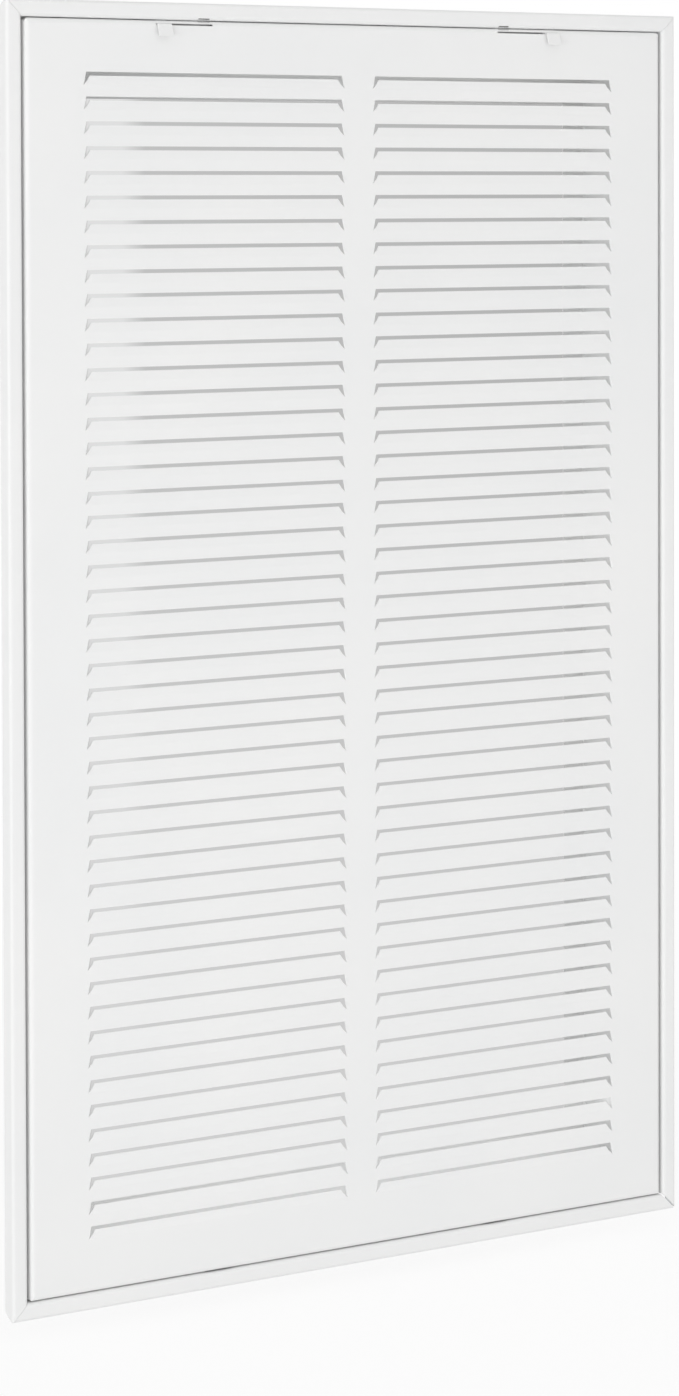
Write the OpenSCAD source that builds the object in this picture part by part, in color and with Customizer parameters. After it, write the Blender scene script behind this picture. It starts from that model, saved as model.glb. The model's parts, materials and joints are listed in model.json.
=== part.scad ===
// Return air filter grille for a 14 by 24 inch duct opening.
// A mitred sheet steel frame carries a filter channel at its back and a
// louvred door in its front. The door turns on two hinges at the bottom
// and is held by two sliding latches at the top.
// X is right, Z is up, +Y points into the wall and the wall plane is Y = 0.
// The origin is the centre of the screw pattern, on the wall plane.

/* [Duct and frame] */
// Width of the duct opening, mm
duct_w = 355.6; // [250:0.1:650]
// Height of the duct opening, mm
duct_h = 609.6; // [300:0.1:900]
// How far the frame laps the wall on each side of the opening, mm
overlap = 32.65; // [26:0.05:45]
// Width of the rim's front face, mm
rim_w = 8.9; // [7:0.1:14]
// How far the rim stands out from the wall, mm
rim_depth = 8.8; // [8.6:0.1:14]
// Thickness of all the sheet, mm
sheet = 0.7; // [0.5:0.05:1]
// Outside radius of the frame's folds, mm
bend_r = 1.8; // [1.2:0.1:2]
// Outside radius of the fold from the rim's face to its inner wall, mm
inner_bend_r = 2.4; // [1.2:0.1:3]
// How much shorter a rail's outer return is at the wall, at each end, mm
return_trim = 4.3; // [0:0.1:8]
// Width of the open line in each mitred corner, mm
seam = 0.1; // [0:0.05:0.6]
// Width of the lower right corner's line, which is sprung open, mm
open_seam = 0.65; // [0:0.05:1.2]

/* [Filter channel] */
// Clearance between the channel and the duct opening, mm
duct_clear = 1.5; // [0.5:0.1:4]
// How far the channel reaches into the duct, mm
channel_depth = 31.5; // [20:0.5:60]
// Width of the lip that stops the filter, mm
lip_w = 15; // [8:0.5:22]
// Share of the flange that the channel's welded strip covers
weld_share = 0.36; // [0.2:0.01:0.5]

/* [Wall screws] */
// Radius of each screw hole in the side flanges, mm
screw_hole_r = 2.3; // [1.8:0.05:2.6]
// From the frame's top or bottom edge to a hole's centre, mm
screw_drop = 87.45; // [40:0.05:150]

/* [Door] */
// Gap between rim and door at each side, mm
gap_side = 1.7; // [1:0.1:3]
// Gap between rim and door at the top, mm
gap_top = 0.5; // [0.4:0.05:3]
// Gap between rim and door at the bottom, mm
gap_bottom = 0.55; // [0.5:0.05:3]
// Depth of the door's folded edges, mm
door_depth = 6.6; // [6.4:0.1:6.8]
// Outside radius of the door's folds, mm
door_bend_r = 2.6; // [2:0.1:3]
// Radius that trims the door's upper corners, mm
door_corner_r = 2.8; // [1:0.1:5]
// Radius that trims the door's lower corners, mm
door_foot_r = 1.4; // [1:0.1:5]

/* [Louvres] */
// Columns of louvres side by side
louvre_columns = 2; // [1:1:4]
// Height from one louvre to the next, mm
louvre_pitch = 12.7; // [8:0.1:20]
// Louvres that the press forms in one stroke
louvres_per_stroke = 9; // [3:1:12]
// How much closer two strokes stand than two louvres, mm
stroke_step = 0.4; // [0:0.05:1]
// From the duct opening's top edge down to the first slot, mm
first_slot = 4.85; // [2:0.05:20]
// From the last slot down to the duct opening's bottom edge, mm
last_slot = 9.15; // [2:0.05:20]
// From the duct opening's side edges in to the louvres, mm
louvre_inset = 12.85; // [2:0.05:30]
// Plain strip between two columns, mm
mullion_w = 20.8; // [10:0.1:40]
// Open height of a slot, mm
slot_h = 2; // [1:0.1:3]
// Height of the window that a louvre's flap closes, mm
window_h = 6.7; // [6:0.1:10]
// How much a window widens at each end towards its fold, mm
window_flare = 1.4; // [0:0.1:3]
// How far a flap's upper corners stay clear of the window, mm
flap_taper = 2.5; // [2:0.1:6]
// How far a flap's ends stay clear of the window at half height, mm
flap_waist = 1.9; // [0.5:0.1:3]
// How far a flap's upper edge is pressed back, mm
flap_back = 0.6; // [0.4:0.1:3]

/* [Hinges] */
// From the middle of the frame to each hinge, mm
hinge_x = 88; // [40:1:180]
// Hinge axis in from the door's front face and from its lower edge, mm
hinge_in = 3; // [2.8:0.1:3.5]
// Radius of the hinge pin, mm
pin_r = 1; // [0.8:0.05:1.2]
// Radial play of the pin in the door's knuckle, mm
pin_play = 0.08; // [0.02:0.01:0.15]
// Length of the door's knuckle, mm
knuckle_w = 9.4; // [6:0.1:14]
// Length of the hinge leaf up the back of the door's face, mm
leaf_h = 14; // [8:0.5:20]

/* [Latches] */
// From the middle of the frame to the left latch when locked, mm
latch_x = 119.2; // [60:1:180]
// How much further out the right latch is locked, mm
latch_shift = 6.9; // [0:0.1:12]
// How far the left latch slides in to its notch, mm
latch_travel = 24.6; // [10:0.1:40]
// Width of the latch's thumb tab, mm
tab_w = 8.4; // [6:0.1:14]
// Height of the thumb tab, mm
tab_h = 6.6; // [5:0.1:14]
// How far the tab's lower edge stands off the door, mm
tab_lean = 2.4; // [0.5:0.1:4]
// Width of the latch's tongue, mm
tongue_w = 6; // [4:0.1:10]
// Clearance between the tongue and the rim, mm
tongue_gap = 0.3; // [0.2:0.05:0.6]

/* [Hidden] */
$fn = 32;

// Colours of the painted sheet and the plated small parts
paint = [0.93, 0.94, 0.93];
plated = [0.72, 0.74, 0.76];

frame_w = duct_w + 2 * overlap;
frame_h = duct_h + 2 * overlap;
half_w = frame_w / 2;
half_h = frame_h / 2;
front_y = -rim_depth;
// A length past every edge, for cutters
past = 1;
// The channel's wall, in from the frame's outer edge. Its weld strip lies
// on the flange, whose edge ends at the fold
channel_inset = overlap + duct_clear;
weld_w = weld_share * (channel_inset - rim_w);
flange_edge = channel_inset + sheet - bend_r;
// The screws stand in the middle of the flange's free part
screw_inset = (rim_w + channel_inset - weld_w) / 2;
// Mitre cutters reach further in than the widest section
mitre_reach = channel_inset + lip_w + 5;

// The door's edges
mitre_weld = 0.02;
door_half_w = half_w - rim_w - gap_side;
door_top = half_h - rim_w - gap_top;
door_bottom = -half_h + rim_w + gap_bottom;
door_mid = (door_top + door_bottom) / 2;
door_half_h = (door_top - door_bottom) / 2;

// Louvre rows are counted from the room that the plain bands leave
stroke_pitch = louvres_per_stroke * louvre_pitch - stroke_step;
mean_pitch = stroke_pitch / louvres_per_stroke;
louvre_rows = floor((duct_h - first_slot - last_slot) / mean_pitch + 0.5) + 1;
column_w = (duct_w - 2 * louvre_inset - (louvre_columns - 1) * mullion_w)
    / louvre_columns;
function slot_z(i) = duct_h / 2 - first_slot - i * louvre_pitch
    + stroke_step * floor(i / louvres_per_stroke);
function column_x(k) = -duct_w / 2 + louvre_inset + column_w / 2
    + k * (column_w + mullion_w);

// The hinge axis
hinge_y = front_y + hinge_in;
hinge_z = door_bottom + hinge_in;
// Radii of the knuckle and of the bracket's ears, and the ears' place
knuckle_r = pin_r + 0.8;
ear_r = pin_r + 1;
ear_t = 1.2;
ear_gap = 0.5;
// Behind the pin an ear reaches less far down, clear of the open door
ear_foot = 0.8;
bracket_t = 1;
bracket_w = knuckle_w + 2 * (ear_gap + ear_t) + 3.2;
notch_clear = 1;
// The bracket stands on the flange, clear of the channel's weld strip
weld_clear = 3;
bracket_h = channel_inset - weld_w - weld_clear
    - (rim_w + gap_bottom + hinge_in - ear_r);

// Place and travel of the latch on side s. Both notches stand alike
function locked_x(s) = latch_x + (s > 0 ? latch_shift : 0);
function travel(s) = latch_travel + (s > 0 ? latch_shift : 0);
// Latch heights: the thumb tab comes out through a slit in the top fold
latch_t = 0.6;
slit_h = 0.9;
slit_top = door_top - 1.5;
plate_z = slit_top - (slit_h + latch_t) / 2;
plate_half = max(tab_w, tongue_w) / 2 + 1;
plate_front = front_y + sheet + 0.8;
plate_back = front_y + 6.3;
tongue_y = front_y + 3.3;
tongue_slot = 2.2;
guide_gap = 0.3;
guide_end = 1.5;
notch_w = 7.2;
notch_h = 1.3;
// How far behind the rim's and the door's face the notch's two halves start
rim_notch_in = 0.45;
door_notch_in = 1;
notch_x = latch_x - latch_travel;

// Builds along one side of the frame from a section whose first axis runs
// in from the outer edge and whose second runs forward from the wall.
// side turns it: 0 top, 90 right, 180 bottom, 270 left.
module along_side(side, reach, run) {
    rotate([0, side, 0])
        translate([0, 0, reach])
            rotate([180, 90, 0])
                linear_extrude(2 * run, center = true)
                    children();
}

// The wedge that one side keeps between its two mitre cuts. The cuts are
// set back by start and finish at the side's two ends.
module mitre_wedge(side, reach, run, start, finish) {
    rotate([0, side, 0])
        rotate([90, 0, 0])
            linear_extrude(4 * channel_depth, center = true)
                polygon([
                    [-run + start - past, reach + past],
                    [run - finish + past, reach + past],
                    [run - finish - mitre_reach, reach - mitre_reach],
                    [-run + start + mitre_reach, reach - mitre_reach]
                ]);
}

// A quarter ring of sheet at a fold, q quarter turns from upper right
module fold(x, y, q, r = bend_r) {
    translate([x, y])
        rotate(90 * q)
            difference() {
                intersection() {
                    circle(r);
                    square(r);
                }
                circle(r - sheet);
            }
}

// Rolled section of a frame rail: outer return, rim, inner wall, flange
module rail_section() {
    wall_x = rim_w - sheet;
    square([sheet, rim_depth - bend_r]);
    fold(bend_r, rim_depth - bend_r, 1);
    translate([bend_r, rim_depth - sheet])
        square([rim_w - bend_r - inner_bend_r, sheet]);
    fold(rim_w - inner_bend_r, rim_depth - inner_bend_r, 0, inner_bend_r);
    translate([wall_x, bend_r])
        square([sheet, rim_depth - bend_r - inner_bend_r]);
    fold(wall_x + bend_r, bend_r, 2);
    translate([wall_x + bend_r, 0])
        square([flange_edge - wall_x - bend_r, sheet]);
}

// Section of the filter channel: weld strip, wall and filter lip
module channel_section() {
    translate([channel_inset - weld_w, sheet])
        square([flange_edge - channel_inset + weld_w, sheet]);
    fold(flange_edge, 2 * sheet - bend_r, 0);
    translate([channel_inset, bend_r - channel_depth])
        square([sheet, channel_depth + 2 * sheet - 2 * bend_r]);
    fold(channel_inset + bend_r, bend_r - channel_depth, 2);
    translate([channel_inset + bend_r, -channel_depth])
        square([lip_w - bend_r, sheet]);
}

// Section of the door's folded edge, with a strip of the face
module door_edge_section() {
    translate([0, rim_depth - door_depth])
        square([sheet, door_depth - door_bend_r]);
    fold(door_bend_r, rim_depth - door_bend_r, 1, door_bend_r);
    translate([door_bend_r, rim_depth - sheet])
        square([door_bend_r, sheet]);
}

// Slanting cuts that shorten the outer return towards the wall
module return_cuts(side, reach, run) {
    h = rim_depth - bend_r;
    slope = return_trim / h;
    rotate([0, side, 0])
        translate([0, 0, reach - bend_r])
            linear_extrude(bend_r + past)
                for (e = [-1, 1])
                    polygon([[e * (run - return_trim - slope * past), past],
                        [e * (run + past), past],
                        [e * (run + past), -h],
                        [e * run, -h]]);
}

module mitred_rail(side, start = seam, finish = seam) {
    reach = side % 180 == 0 ? half_h : half_w;
    run = side % 180 == 0 ? half_w : half_h;
    difference() {
        intersection() {
            along_side(side, reach, run) rail_section();
            mitre_wedge(side, reach, run, start, finish);
        }
        return_cuts(side, reach, run);
    }
}

module mitred_channel(side) {
    reach = side % 180 == 0 ? half_h : half_w;
    run = side % 180 == 0 ? half_w : half_h;
    intersection() {
        along_side(side, reach, run) channel_section();
        mitre_wedge(side, reach, run, seam, seam);
    }
}

// Opening for a latch tongue in the top rail's inner wall: a slot along
// the travel, and a notch at its inner end that cuts on into the fold
module latch_pocket(s) {
    wall_z = half_h - rim_w;
    translate([s * (notch_x + travel(s) / 2), tongue_y, wall_z + sheet / 2])
        cube([travel(s) + notch_w, tongue_slot, sheet + 0.4],
            center = true);
    translate([s * notch_x - notch_w / 2, front_y + rim_notch_in,
            wall_z - past])
        cube([notch_w, rim_depth - bend_r - rim_notch_in, notch_h + past]);
}

module rail_top() color(paint) difference() {
    mitred_rail(0);
    for (s = [-1, 1]) latch_pocket(s);
}

module rail_bottom() color(paint) mitred_rail(180, open_seam, seam);

// Side rails carry the wall screws' holes
module side_rail(s) color(paint) difference() {
    if (s > 0) mitred_rail(90, seam, open_seam);
    else mitred_rail(270);
    for (z = [-1, 1])
        translate([s * (half_w - screw_inset), 0, z * (half_h - screw_drop)])
            rotate([90, 0, 0])
                cylinder(h = 4 * sheet, r = screw_hole_r, center = true);
}

module rail_left() side_rail(-1);

module rail_right() side_rail(1);

module channel_top() color(paint) mitred_channel(0);

module channel_bottom() color(paint) mitred_channel(180);

module channel_left() color(paint) mitred_channel(270);

module channel_right() color(paint) mitred_channel(90);

// Angle plate behind the rim's face that joins two rails at a mitre
module corner_key(sx, sz) {
    key_edge = bend_r + 0.1;
    key_w = rim_w - key_edge - inner_bend_r - 0.1;
    key_leg = 26;
    key_t = 0.8;
    color(plated)
        mirror([sx > 0 ? 1 : 0, 0, 0])
            mirror([0, 0, sz > 0 ? 1 : 0])
                translate([-half_w + key_edge, front_y + sheet + key_t,
                        -half_h + key_edge])
                    rotate([90, 0, 0])
                        linear_extrude(key_t)
                            polygon([[0, 0], [key_leg, 0], [key_leg, key_w],
                                [key_w, key_w], [key_w, key_leg],
                                [0, key_leg]]);
}

module corner_key_top_left() corner_key(-1, 1);

module corner_key_top_right() corner_key(1, 1);

module corner_key_bottom_left() corner_key(-1, -1);

module corner_key_bottom_right() corner_key(1, -1);

// Moves from the hinge's middle on its axis to its place on the frame
module at_hinge(s) translate([s * hinge_x, hinge_y, hinge_z]) children();

module along_x(len, r) rotate([0, 90, 0]) cylinder(h = len, r = r, center = true);

// Plate on the flange with two ears that carry the pin
module hinge_bracket(s) {
    reach = rim_depth - hinge_in - sheet;
    color(plated) at_hinge(s) {
        translate([-bracket_w / 2, reach - bracket_t, -ear_r])
            cube([bracket_w, bracket_t, bracket_h]);
        for (e = [-1, 1])
            translate([e * (knuckle_w / 2 + ear_gap + ear_t / 2), 0, 0])
                difference() {
                    union() {
                        along_x(ear_t, ear_r);
                        translate([-ear_t / 2, 0, -ear_foot])
                            cube([ear_t, reach - bracket_t / 2,
                                ear_r + ear_foot]);
                    }
                    along_x(ear_t + past, pin_r);
                }
    }
}

module hinge_bracket_left() hinge_bracket(-1);

module hinge_bracket_right() hinge_bracket(1);

module hinge_pin(s)
    color(plated) at_hinge(s)
        along_x(knuckle_w + 2 * (ear_gap + ear_t) + 1, pin_r);

module hinge_pin_left() hinge_pin(-1);

module hinge_pin_right() hinge_pin(1);

// Leaf welded to the back of the door's face, rolled round the pin
module hinge_leaf(s) {
    leaf_t = 0.8;
    color(plated) at_hinge(s) difference() {
        union() {
            along_x(knuckle_w, knuckle_r);
            translate([-knuckle_w / 2, sheet - hinge_in, 0])
                cube([knuckle_w, leaf_t, leaf_h]);
        }
        along_x(knuckle_w + past, pin_r + pin_play);
    }
}

module hinge_leaf_left() hinge_leaf(-1);

module hinge_leaf_right() hinge_leaf(1);

// Outlines in the plane of the door's face, as [x, z] from a column's
// middle and a slot's height: the window, then the flap that is left in it
module window_outline() {
    top = slot_h / 2;
    half = column_w / 2;
    polygon([[-half, top], [half, top],
        [half + window_flare, top - window_h],
        [-half - window_flare, top - window_h]]);
}

module flap_outline() {
    half = column_w / 2;
    fold_z = slot_h / 2 - window_h;
    waist_z = (fold_z - slot_h / 2) / 2;
    waist_x = half + window_flare * (slot_h / 2 - waist_z) / window_h
        - flap_waist;
    polygon([[-waist_x, waist_z], [flap_taper - half, -slot_h / 2],
        [half - flap_taper, -slot_h / 2], [waist_x, waist_z],
        [half + window_flare, fold_z],
        [half + window_flare, fold_z - sheet],
        [-half - window_flare, fold_z - sheet],
        [-half - window_flare, fold_z]]);
}

// Side view of one flap as [y, z]: its fold lies in the door's face and
// its upper edge is pressed back
module flap_profile() {
    fold_z = slot_h / 2 - window_h;
    polygon([[0, fold_z - sheet], [sheet, fold_z - sheet], [sheet, fold_z],
        [sheet + flap_back, -slot_h / 2], [flap_back, -slot_h / 2],
        [0, fold_z]]);
}

module in_face_plane(depth)
    translate([0, front_y + depth, 0])
        rotate([90, 0, 0])
            linear_extrude(depth)
                children();

module door_face()
    in_face_plane(sheet)
        difference() {
            translate([-door_half_w + door_bend_r, door_bottom + door_bend_r])
                square([2 * (door_half_w - door_bend_r),
                    2 * (door_half_h - door_bend_r)]);
            for (k = [0 : louvre_columns - 1])
                for (i = [0 : louvre_rows - 1])
                    translate([column_x(k), slot_z(i)]) window_outline();
        }

// All flaps of one column: their side views run through the column, and
// the outlines cut the slanting ends
module column_of_flaps(k) intersection() {
    translate([column_x(k), front_y, 0])
        rotate([90, 0, 90])
            linear_extrude(column_w + 2 * window_flare + 2, center = true)
                for (i = [0 : louvre_rows - 1])
                    translate([0, slot_z(i)]) flap_profile();
    translate([0, -past, 0])
        in_face_plane(2 * past + sheet + flap_back)
            for (i = [0 : louvre_rows - 1])
                translate([column_x(k), slot_z(i)]) flap_outline();
}

// The four folded edges, before the corners are trimmed. They run a hair
// into each other at the mitres
module door_edges() {
    for (side = [0, 90, 180, 270]) {
        upright = side % 180 == 0;
        reach = upright ? door_half_h : door_half_w;
        run = upright ? door_half_w : door_half_h;
        translate([0, 0, door_mid])
            intersection() {
                along_side(side, reach, run) door_edge_section();
                mitre_wedge(side, reach, run, -mitre_weld, -mitre_weld);
            }
    }
}

// The door's outline with corners of radius r, in its upper or lower part
module rounded_part(r, up) {
    x = door_half_w - r;
    z = door_half_h - r;
    intersection() {
        union() {
            square([2 * door_half_w, 2 * z], center = true);
            square([2 * x, 2 * door_half_h], center = true);
            for (i = [-1, 1]) for (j = [-1, 1])
                translate([i * x, j * z]) circle(r);
        }
        translate([0, up * (door_half_h / 2 - past)])
            square([2 * door_half_w + 2 * past, door_half_h + 4 * past],
                center = true);
    }
}

module rounded_door_block()
    translate([0, -2 * rim_depth, 0])
        in_face_plane(4 * rim_depth)
            translate([0, door_mid]) {
                rounded_part(door_corner_r, 1);
                rounded_part(door_foot_r, -1);
            }

// Slit in the top fold for the latch, slot for its tongue, and the notch
// in the fold where the tongue comes free
module latch_openings(s) {
    mid_x = s * (locked_x(s) - travel(s) / 2);
    translate([mid_x, front_y, slit_top - slit_h / 2])
        cube([travel(s) + tab_w + 1, 2 * door_bend_r, slit_h],
            center = true);
    translate([mid_x, tongue_y, door_top])
        cube([travel(s) + tongue_w + 1, tongue_slot, 4 * sheet],
            center = true);
    translate([s * notch_x - notch_w / 2, front_y + door_notch_in,
            door_top - 2 * sheet])
        cube([notch_w, tongue_y - front_y - door_notch_in, 4 * sheet]);
}

// Cut in the bottom edge that lets a hinge bracket reach its pin
module hinge_notch(s)
    translate([s * hinge_x - bracket_w / 2 - notch_clear,
            front_y + door_bend_r / 2, door_bottom - past])
        cube([bracket_w + 2 * notch_clear, rim_depth, 2 * past + sheet]);

module door_panel() color(paint) {
    difference() {
        union() {
            door_face();
            intersection() {
                door_edges();
                rounded_door_block();
            }
        }
        for (s = [-1, 1]) {
            latch_openings(s);
            hinge_notch(s);
        }
    }
    for (k = [0 : louvre_columns - 1]) column_of_flaps(k);
}

// Strip that carries a latch under the door's top edge
module latch_guide(s) {
    top = plate_z - guide_gap;
    front = front_y + door_bend_r;
    len = travel(s) + 2 * (plate_half + guide_end + latch_t);
    foot_h = door_top - sheet - top + latch_t;
    depth = plate_back - front;
    color(plated)
        translate([s * (locked_x(s) - travel(s) / 2), front, 0]) {
            translate([-len / 2, 0, top - latch_t])
                cube([len, depth, latch_t]);
            for (e = [-1, 1])
                translate([e * (len - latch_t) / 2 - latch_t / 2, 0,
                        top - latch_t])
                    cube([latch_t, depth, foot_h]);
        }
}

module latch_guide_left() latch_guide(-1);

module latch_guide_right() latch_guide(1);

// Latch, drawn locked: a plate that slides in its guide, a tongue that
// rises to the rim and a thumb tab that leans off the door's face
module latch(s) {
    tab_y = front_y - guide_gap;
    tab_top = plate_z + latch_t;
    tongue_top = half_h - rim_w - tongue_gap;
    color(paint) translate([s * locked_x(s), 0, 0]) {
        translate([-plate_half, plate_front, plate_z])
            cube([2 * plate_half, plate_back - plate_front, latch_t]);
        translate([-tab_w / 2, tab_y - latch_t, plate_z])
            cube([tab_w, plate_front - tab_y + 2 * latch_t, latch_t]);
        translate([-tongue_w / 2, tongue_y - latch_t / 2, plate_z])
            cube([tongue_w, latch_t, tongue_top - plate_z]);
        rotate([90, 0, 90])
            linear_extrude(tab_w, center = true)
                polygon([[tab_y, tab_top], [tab_y - latch_t, tab_top],
                    [tab_y - latch_t - tab_lean, tab_top - tab_h],
                    [tab_y - tab_lean, tab_top - tab_h]]);
    }
}

module latch_left() latch(-1);

module latch_right() latch(1);

rail_top();
rail_bottom();
rail_left();
rail_right();
channel_top();
channel_bottom();
channel_left();
channel_right();
corner_key_top_left();
corner_key_top_right();
corner_key_bottom_left();
corner_key_bottom_right();
hinge_bracket_left();
hinge_bracket_right();
hinge_pin_left();
hinge_pin_right();
door_panel();
hinge_leaf_left();
hinge_leaf_right();
latch_guide_left();
latch_guide_right();
latch_left();
latch_right();
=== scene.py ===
"""Looks for the return air filter grille.

White powder coat, zinc-plated small parts, soft studio light and the
photo's camera. Lengths are in metres in the part's own frame: X right,
Y into the wall, Z up.
"""
import json
import math

import bpy
from mathutils import Matrix, Vector


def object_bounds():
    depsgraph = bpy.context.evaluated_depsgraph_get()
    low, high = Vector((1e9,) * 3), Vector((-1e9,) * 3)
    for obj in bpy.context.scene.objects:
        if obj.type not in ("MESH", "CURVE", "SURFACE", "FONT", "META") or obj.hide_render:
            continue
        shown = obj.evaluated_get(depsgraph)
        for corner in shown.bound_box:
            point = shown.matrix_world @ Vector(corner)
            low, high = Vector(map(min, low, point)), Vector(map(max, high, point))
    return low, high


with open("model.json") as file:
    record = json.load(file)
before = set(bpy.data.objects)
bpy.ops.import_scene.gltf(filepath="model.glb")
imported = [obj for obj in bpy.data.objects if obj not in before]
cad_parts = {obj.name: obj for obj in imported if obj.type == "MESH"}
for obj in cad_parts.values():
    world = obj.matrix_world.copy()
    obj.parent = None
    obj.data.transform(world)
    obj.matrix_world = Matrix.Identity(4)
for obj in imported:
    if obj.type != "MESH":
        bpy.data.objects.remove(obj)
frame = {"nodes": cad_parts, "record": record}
bounds_at_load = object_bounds()

# Camera, fitted to the photo. Its angles are in radians
CAMERA_AT = (-1.10709, -1.76203, 0.23643)
CAMERA_YAW = 0.5581
CAMERA_PITCH = -0.0266
CAMERA_ROLL = -0.0029
LENS_MM = 99.99
SENSOR_MM = 36.0
SHIFT_Y = -0.285

# Lamps: name, place, target, width and height, watts. The foot lamp lights
# the lip at the foot of the filter channel, behind the lowest slots
LAMPS = (
    ("key", (-2.9, -1.5, -0.1), (0.0, 0.0, -0.35), (1.8, 0.7), 31.0),
    ("fill", (0.8, -2.4, -0.3), (0.0, 0.0, -0.85), (1.0, 0.4), 6.2),
    ("top", (-0.4, -1.3, 2.2), (0.0, 0.0, 0.2), (1.2, 1.2), 3.0),
    ("low", (0.05, -1.1, -0.3), (0.05, 0.0, -0.36), (0.6, 0.1), 0.5),
    ("foot", (0.0, 0.008, -0.272), (0.0, 0.031, -0.299), (0.35, 0.008), 0.01),
)
# Strength of the world's light on things, and as the background
WORLD_LIGHT = 0.68
WORLD_WHITE = 1.0

# Powder coat: two tones in faint clouds, a satin gloss that varies slowly,
# a thin clear coat and a fine orange peel
PAINT_TONES = ((0.87, 0.875, 0.875), (0.895, 0.895, 0.89))
PAINT_CLOUD_SCALE = 9.0
PAINT_GLOSS_SCALE = 30.0
PAINT_ROUGHNESS = (0.46, 0.56)
PAINT_COAT = 0.1
PAINT_COAT_ROUGHNESS = 0.35
PEEL_SCALE = 520.0
PEEL_STRENGTH = 0.12
PEEL_HEIGHT = 0.0002

# Zinc plating: two tones in a soft spangle, and streaks along X
ZINC_TONES = ((0.50, 0.51, 0.52), (0.66, 0.67, 0.68))
SPANGLE_SCALE = 160.0
STREAK_STRETCH = (12.0, 400.0, 400.0)
STREAK_SCALE = 3.0
ZINC_ROUGHNESS = (0.32, 0.48)

# Most of a noise texture's values lie in this range
NOISE_RANGE = (0.3, 0.7)

# Floor: size, drop below the object, share of plain white near the object,
# and from where to where it fades to all white
FLOOR_SIZE = 12.0
FLOOR_DROP = 0.01
FLOOR_COLOUR = (0.96, 0.96, 0.96)
FLOOR_ROUGHNESS = 0.9
FLOOR_WHITE = 0.88
FLOOR_FADE = (0.4, 1.6)

# Card behind the duct opening that glows with painted shade: its greys stand in
# for the shaded cavity seen through the slots, with painted shade in the dark
# strip at its left end and painted light in the paler band beside it. Each stop
# is a place across, from 0 to 1, and a grey. The upper stops fade into the lower ones
SHADE_Y = 0.034
SHADE_SIZE = (0.351, 0.605)
SHADE_UPPER = (
    (0.088, 0.36), (0.098, 0.74), (0.155, 0.74), (0.195, 0.53), (0.95, 0.45))
SHADE_LOWER = (
    (0.088, 0.40), (0.098, 0.64), (0.155, 0.64), (0.195, 0.63), (0.95, 0.58))
SHADE_FADE = (0.1, 0.75)

# Dim strips behind the hollow rails that glow with painted shade, seen through
# the rails' notches and seams: place, grey, width, and how far out
# and how long the upright and the level ones are
RAIL_Y = 0.0004
RAIL_GREY = 0.05
RAIL_BAND = 0.007
RAIL_OUT = (0.206, 0.333)
RAIL_RUN = (0.396, 0.650)

# Sockets of the Mix node when it mixes colours
MIX_FACTOR, MIX_FIRST, MIX_SECOND, MIX_RESULT = 0, 6, 7, 2


def rgba(colour):
    return (*colour, 1.0)


def material(name):
    mat = bpy.data.materials.new(name)
    mat.use_nodes = True
    return mat, mat.node_tree.nodes, mat.node_tree.links


def noise(nodes, links, coords, scale, detail):
    tex = nodes.new("ShaderNodeTexNoise")
    tex.inputs["Scale"].default_value = scale
    tex.inputs["Detail"].default_value = detail
    tex.inputs["Roughness"].default_value = 0.5
    links.new(coords, tex.inputs["Vector"])
    return tex.outputs["Fac"]


def remap(nodes, links, value, source, target):
    """Carries the source range over to the target range, and clamps."""
    node = nodes.new("ShaderNodeMapRange")
    node.inputs["From Min"].default_value = source[0]
    node.inputs["From Max"].default_value = source[1]
    node.inputs["To Min"].default_value = target[0]
    node.inputs["To Max"].default_value = target[1]
    links.new(value, node.inputs["Value"])
    return node.outputs["Result"]


def two_tones(nodes, links, value, tones):
    node = nodes.new("ShaderNodeMix")
    node.data_type = "RGBA"
    node.inputs[MIX_FIRST].default_value = rgba(tones[0])
    node.inputs[MIX_SECOND].default_value = rgba(tones[1])
    links.new(value, node.inputs[MIX_FACTOR])
    return node.outputs[MIX_RESULT]


def mix_shaders(nodes, links, share, first, second):
    mix = nodes.new("ShaderNodeMixShader")
    links.new(share, mix.inputs["Fac"])
    links.new(first, mix.inputs[1])
    links.new(second, mix.inputs[2])
    return mix.outputs["Shader"]


def math_node(nodes, links, operation, first, second):
    node = nodes.new("ShaderNodeMath")
    node.operation = operation
    node.use_clamp = True
    links.new(first, node.inputs[0])
    links.new(second, node.inputs[1])
    return node.outputs["Value"]


def painted_sheet():
    """White powder coat with faint clouds, orange peel and a satin gloss."""
    mat, nodes, links = material("painted_sheet")
    bsdf = nodes["Principled BSDF"]
    coords = nodes.new("ShaderNodeTexCoord").outputs["Object"]
    cloud = remap(nodes, links,
                  noise(nodes, links, coords, PAINT_CLOUD_SCALE, 3.0),
                  NOISE_RANGE, (0.0, 1.0))
    links.new(two_tones(nodes, links, cloud, PAINT_TONES),
              bsdf.inputs["Base Color"])
    gloss = noise(nodes, links, coords, PAINT_GLOSS_SCALE, 2.0)
    links.new(remap(nodes, links, gloss, NOISE_RANGE, PAINT_ROUGHNESS),
              bsdf.inputs["Roughness"])
    bsdf.inputs["Coat Weight"].default_value = PAINT_COAT
    bsdf.inputs["Coat Roughness"].default_value = PAINT_COAT_ROUGHNESS
    bump = nodes.new("ShaderNodeBump")
    bump.inputs["Strength"].default_value = PEEL_STRENGTH
    bump.inputs["Distance"].default_value = PEEL_HEIGHT
    links.new(noise(nodes, links, coords, PEEL_SCALE, 1.0),
              bump.inputs["Height"])
    links.new(bump.outputs["Normal"], bsdf.inputs["Normal"])
    return mat


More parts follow.
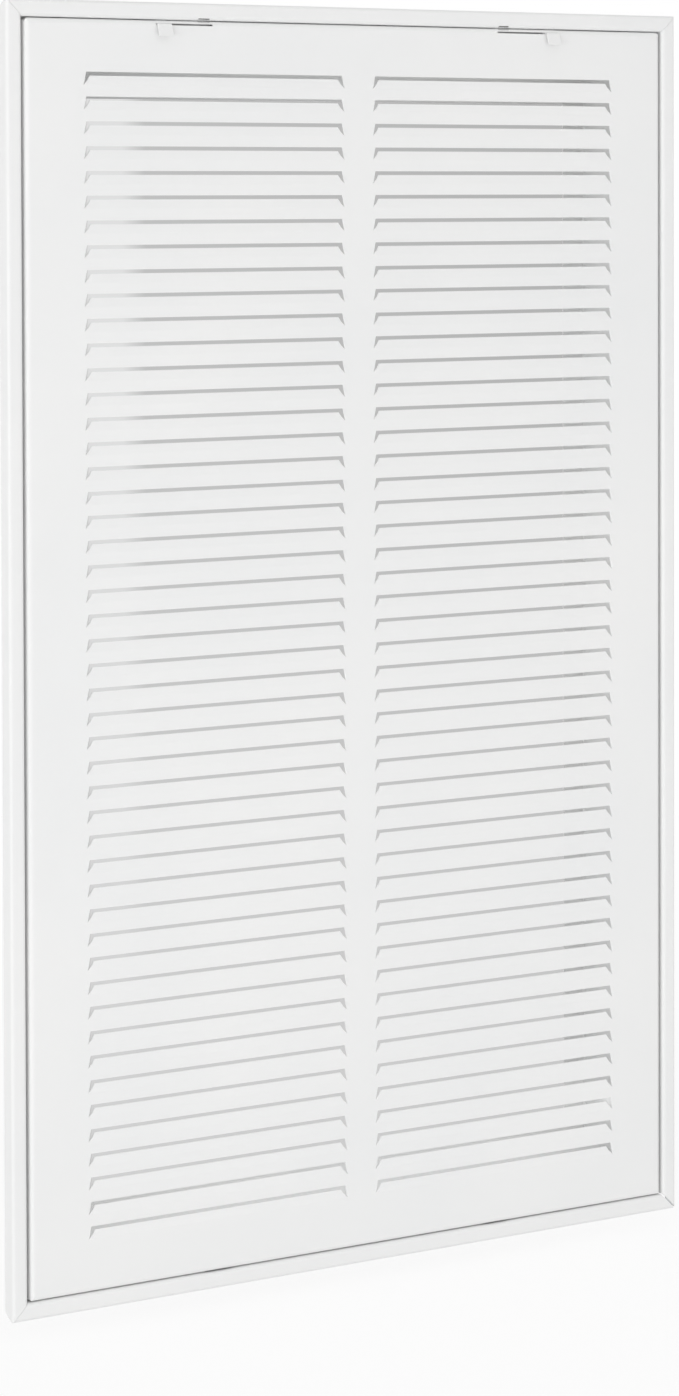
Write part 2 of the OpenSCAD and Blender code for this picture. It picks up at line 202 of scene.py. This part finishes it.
def plated_steel():
    """Zinc-plated sheet: grey metal with a soft spangle and rolled streaks."""
    mat, nodes, links = material("plated_steel")
    bsdf = nodes["Principled BSDF"]
    bsdf.inputs["Metallic"].default_value = 1.0
    coords = nodes.new("ShaderNodeTexCoord").outputs["Object"]
    spangle = remap(nodes, links,
                    noise(nodes, links, coords, SPANGLE_SCALE, 3.0),
                    NOISE_RANGE, (0.0, 1.0))
    links.new(two_tones(nodes, links, spangle, ZINC_TONES),
              bsdf.inputs["Base Color"])
    stretch = nodes.new("ShaderNodeMapping")
    stretch.inputs["Scale"].default_value = STREAK_STRETCH
    links.new(coords, stretch.inputs["Vector"])
    streaks = noise(nodes, links, stretch.outputs["Vector"], STREAK_SCALE, 2.0)
    links.new(remap(nodes, links, streaks, NOISE_RANGE, ZINC_ROUGHNESS),
              bsdf.inputs["Roughness"])
    return mat


def seen(nodes, links):
    """One for camera, mirror and see-through rays, zero for all others."""
    path = nodes.new("ShaderNodeLightPath")
    total = path.outputs["Is Camera Ray"]
    for kind in ("Is Glossy Ray", "Is Transmission Ray"):
        total = math_node(nodes, links, "MAXIMUM", total, path.outputs[kind])
    return total


def floor_paint():
    """Pale floor. The rays of seen() meet plain white over most of it, and
    over all of it far from the object, so it is white and keeps a shadow."""
    mat, nodes, links = material("floor")
    bsdf = nodes["Principled BSDF"]
    bsdf.inputs["Base Color"].default_value = rgba(FLOOR_COLOUR)
    bsdf.inputs["Roughness"].default_value = FLOOR_ROUGHNESS
    coords = nodes.new("ShaderNodeTexCoord").outputs["Object"]
    reach = nodes.new("ShaderNodeVectorMath")
    reach.operation = "LENGTH"
    links.new(coords, reach.inputs[0])
    fade = remap(nodes, links, reach.outputs["Value"],
                 FLOOR_FADE, (FLOOR_WHITE, 1.0))
    share = math_node(nodes, links, "MULTIPLY", seen(nodes, links), fade)
    glow = nodes.new("ShaderNodeEmission")
    links.new(mix_shaders(nodes, links, share, bsdf.outputs["BSDF"],
                          glow.outputs["Emission"]),
              nodes["Material Output"].inputs["Surface"])
    return mat


def card_paint(name):
    """Only camera rays on the front side meet the glow, which is painted shade and light.
    Light passes.
    """
    mat, nodes, links = material(name)
    nodes.remove(nodes["Principled BSDF"])
    clear = nodes.new("ShaderNodeBsdfTransparent")
    side = nodes.new("ShaderNodeNewGeometry")
    path = nodes.new("ShaderNodeLightPath")
    front = math_node(nodes, links, "SUBTRACT",
                      path.outputs["Is Camera Ray"],
                      side.outputs["Backfacing"])
    glow = nodes.new("ShaderNodeEmission")
    links.new(mix_shaders(nodes, links, front, clear.outputs["BSDF"],
                          glow.outputs["Emission"]),
              nodes["Material Output"].inputs["Surface"])
    return mat, nodes, links, glow.inputs["Color"]


def grey_ramp(nodes, links, value, stops):
    ramp = nodes.new("ShaderNodeValToRGB")
    elements = ramp.color_ramp.elements
    while len(elements) < len(stops):
        elements.new(0.5)
    for element, (place, grey) in zip(elements, stops):
        element.position = place
        element.color = (grey, grey, grey, 1.0)
    links.new(value, ramp.inputs["Fac"])
    return ramp.outputs["Color"]


def duct_shade():
    """Painted shade behind the duct opening: a camera-only glow in greys, with painted
    light where it is paler, at its left end and its foot.
    """
    mat, nodes, links, colour = card_paint("duct_shade")
    place = nodes.new("ShaderNodeSeparateXYZ")
    links.new(nodes.new("ShaderNodeTexCoord").outputs["Generated"],
              place.inputs["Vector"])
    lower = grey_ramp(nodes, links, place.outputs["X"], SHADE_LOWER)
    upper = grey_ramp(nodes, links, place.outputs["X"], SHADE_UPPER)
    blend = nodes.new("ShaderNodeMix")
    blend.data_type = "RGBA"
    links.new(remap(nodes, links, place.outputs["Y"], SHADE_FADE, (0.0, 1.0)),
              blend.inputs[MIX_FACTOR])
    links.new(lower, blend.inputs[MIX_FIRST])
    links.new(upper, blend.inputs[MIX_SECOND])
    links.new(blend.outputs[MIX_RESULT], colour)
    return mat


def rail_shade():
    """Painted shade behind the hollow rails: a dim glow all over."""
    mat, _, _, colour = card_paint("rail_shade")
    colour.default_value = (RAIL_GREY, RAIL_GREY, RAIL_GREY, 1.0)
    return mat


def card(name, centre, size, mat):
    """Upright stage card that faces the room."""
    bpy.ops.mesh.primitive_plane_add(
        size=1.0, location=centre, rotation=(math.pi / 2, 0.0, 0.0))
    plane = bpy.context.object
    plane.name = name
    plane.scale = (*size, 1.0)
    plane.data.materials.append(mat)


def area_light(name, at, target, size, watts):
    data = bpy.data.lights.new(name, "AREA")
    data.shape = "RECTANGLE"
    data.size, data.size_y = size
    data.energy = watts
    light = bpy.data.objects.new(name, data)
    light.location = at
    aim = Vector(target) - Vector(at)
    light.rotation_mode = "QUATERNION"
    light.rotation_quaternion = aim.to_track_quat("-Z", "Y")
    light.visible_camera = False
    bpy.context.collection.objects.link(light)


def background(nodes, strength):
    node = nodes.new("ShaderNodeBackground")
    node.inputs["Color"].default_value = (1.0, 1.0, 1.0, 1.0)
    node.inputs["Strength"].default_value = strength
    return node.outputs["Background"]


def studio_world():
    """Even light, and plain white for the rays of seen()."""
    world = bpy.data.worlds.new("studio")
    world.use_nodes = True
    nodes, links = world.node_tree.nodes, world.node_tree.links
    nodes.clear()
    output = nodes.new("ShaderNodeOutputWorld")
    links.new(mix_shaders(nodes, links, seen(nodes, links),
                          background(nodes, WORLD_LIGHT),
                          background(nodes, WORLD_WHITE)),
              output.inputs["Surface"])
    return world


def photo_camera():
    data = bpy.data.cameras.new("camera")
    data.sensor_fit = "AUTO"
    data.sensor_width = SENSOR_MM
    data.lens = LENS_MM
    data.shift_y = SHIFT_Y
    camera = bpy.data.objects.new("camera", data)
    bpy.context.collection.objects.link(camera)
    sin_yaw, cos_yaw = math.sin(CAMERA_YAW), math.cos(CAMERA_YAW)
    level = math.cos(CAMERA_PITCH)
    forward = Vector((sin_yaw * level, cos_yaw * level,
                      math.sin(CAMERA_PITCH)))
    level_right = Vector((cos_yaw, -sin_yaw, 0.0))
    level_up = level_right.cross(forward)
    sin_roll, cos_roll = math.sin(CAMERA_ROLL), math.cos(CAMERA_ROLL)
    right = level_right * cos_roll + level_up * sin_roll
    up = level_up * cos_roll - level_right * sin_roll
    turn = Matrix((right, up, -forward)).transposed()
    camera.matrix_world = Matrix.Translation(CAMERA_AT) @ turn.to_4x4()
    return camera


# Materials of the pieces
materials = {"painted_sheet": painted_sheet(), "plated_steel": plated_steel()}
for part in frame["record"]["subparts"]:
    mesh = frame["nodes"][part["node"]].data
    mesh.materials.clear()
    mesh.materials.append(materials[part["material_slot"]])

# Floor, and stage cards that glow with painted shade
bpy.ops.mesh.primitive_plane_add(
    size=FLOOR_SIZE, location=(0.0, 0.0, bounds_at_load[0].z - FLOOR_DROP))
floor = bpy.context.object
floor.name = "floor"
floor.data.materials.append(floor_paint())

card("duct_shade", (0.0, SHADE_Y, 0.0), SHADE_SIZE, duct_shade())
rail_dim = rail_shade()
for sign in (-1, 1):
    card("rail_shade", (0.0, RAIL_Y, sign * RAIL_OUT[1]),
         (RAIL_RUN[0], RAIL_BAND), rail_dim)
    card("rail_shade", (sign * RAIL_OUT[0], RAIL_Y, 0.0),
         (RAIL_BAND, RAIL_RUN[1]), rail_dim)

# Light and camera
for lamp in LAMPS:
    area_light(*lamp)
scene = bpy.context.scene
scene.world = studio_world()
scene.camera = photo_camera()
scene.view_settings.view_transform = "Standard"
